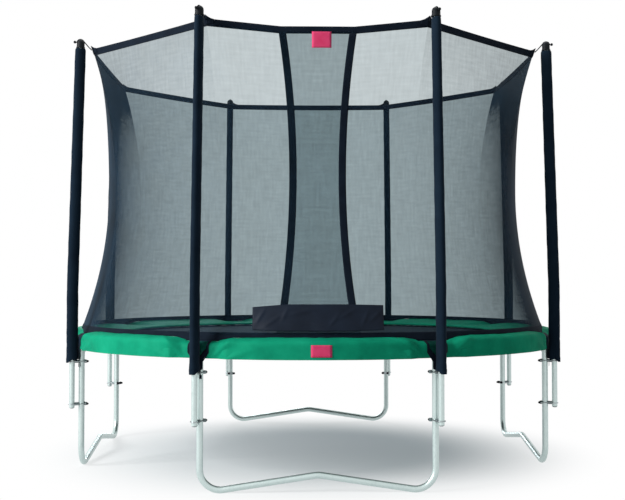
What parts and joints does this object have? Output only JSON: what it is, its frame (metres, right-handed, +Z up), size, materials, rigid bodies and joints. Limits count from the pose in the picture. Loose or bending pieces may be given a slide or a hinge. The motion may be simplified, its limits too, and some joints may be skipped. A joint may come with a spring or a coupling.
{
  "type": "round garden trampoline with safety net",
  "caption": "Round garden trampoline with a sprung mat, a padded spring cover, W-shaped legs and a safety net on padded poles with an overlapping entrance.",
  "frame": {"origin": "centre of the footprint at ground level, under the middle of the mat", "axes": "+Z up, -Y towards the net's entrance, +X to the right as the entrance is faced"},
  "size_m": [3.36, 3.36, 2.7481],
  "materials": {
    "galvanised_tube": "satin galvanised",
    "zinc_hardware": "zinc plated",
    "spring_wire": "zinc plated wire",
    "sleeve_fabric": "matt woven cover over foam",
    "net_mesh": "fine open mesh",
    "webbing": "matt woven strap",
    "elastic": "braided cord",
    "mat_fabric": "matt woven",
    "pad_cover": "semi-gloss coated cloth over foam",
    "flap_fabric": "coated cloth with a sheen",
    "black_plastic": "matt moulded",
    "white_plastic": "matt moulded",
    "saddle_plastic": "matt moulded"
  },
  "bodies": {
    "frame": {"leg_base_front": "galvanised_tube", "leg_uprights_front": "galvanised_tube", "leg_base_right": "galvanised_tube", "leg_uprights_right": "galvanised_tube", "leg_base_back": "galvanised_tube", "leg_uprights_back": "galvanised_tube", "leg_base_left": "galvanised_tube", "leg_uprights_left": "galvanised_tube", "ring_segment_1": "galvanised_tube", "pole_1": "galvanised_tube", "pole_sleeve_1": "sleeve_fabric", "ring_segment_2": "galvanised_tube", "pole_2": "galvanised_tube", "pole_sleeve_2": "sleeve_fabric", "ring_segment_3": "galvanised_tube", "pole_3": "galvanised_tube", "pole_sleeve_3": "sleeve_fabric", "ring_segment_4": "galvanised_tube", "pole_4": "galvanised_tube", "pole_sleeve_4": "sleeve_fabric", "ring_segment_5": "galvanised_tube", "pole_5": "galvanised_tube", "pole_sleeve_5": "sleeve_fabric", "ring_segment_6": "galvanised_tube", "pole_6": "galvanised_tube", "pole_sleeve_6": "sleeve_fabric", "ring_segment_7": "galvanised_tube", "pole_7": "galvanised_tube", "pole_sleeve_7": "sleeve_fabric", "ring_segment_8": "galvanised_tube", "pole_8": "galvanised_tube", "pole_sleeve_8": "sleeve_fabric", "net_panel_1": "net_mesh", "net_panel_2": "net_mesh", "net_panel_3": "net_mesh", "net_panel_4": "net_mesh", "net_panel_5": "net_mesh", "net_panel_6": "net_mesh", "net_panel_7": "net_mesh", "frame_screws": "zinc_hardware", "u_bolts": "zinc_hardware", "clamp_saddles": "saddle_plastic", "clamp_plates": "zinc_hardware", "clamp_nuts": "zinc_hardware", "nut_caps": "black_plastic", "pole_plugs": "white_plastic", "pole_caps": "black_plastic", "cap_elastics": "elastic", "elastic_balls": "black_plastic", "springs": "spring_wire", "pad": "pad_cover", "pad_yokes": "webbing", "net_top_hem": "webbing", "net_bottom_hem": "webbing", "entrance_panel_left": "net_mesh", "entrance_panel_right": "net_mesh", "entrance_bands": "webbing"},
    "mat": {"mat": "mat_fabric", "mat_rings": "spring_wire"},
    "flap": {"entrance_flap": "flap_fabric"}
  },
  "joints": [
    {"name": "mat_bounce", "type": "slide", "parent": "frame", "child": "mat", "axis": [0, 0, 1], "range_m": [-0.3, 0], "stiffness_N_per_m": 6000, "springref_m": 0.035, "deforming": ["springs"]},
    {"name": "entrance_flap_lift", "type": "hinge", "parent": "frame", "child": "flap", "pos_m": [0, -1.54, 1.056], "axis": [-1, 0, 0], "range_deg": [0, 105]}
  ]
}
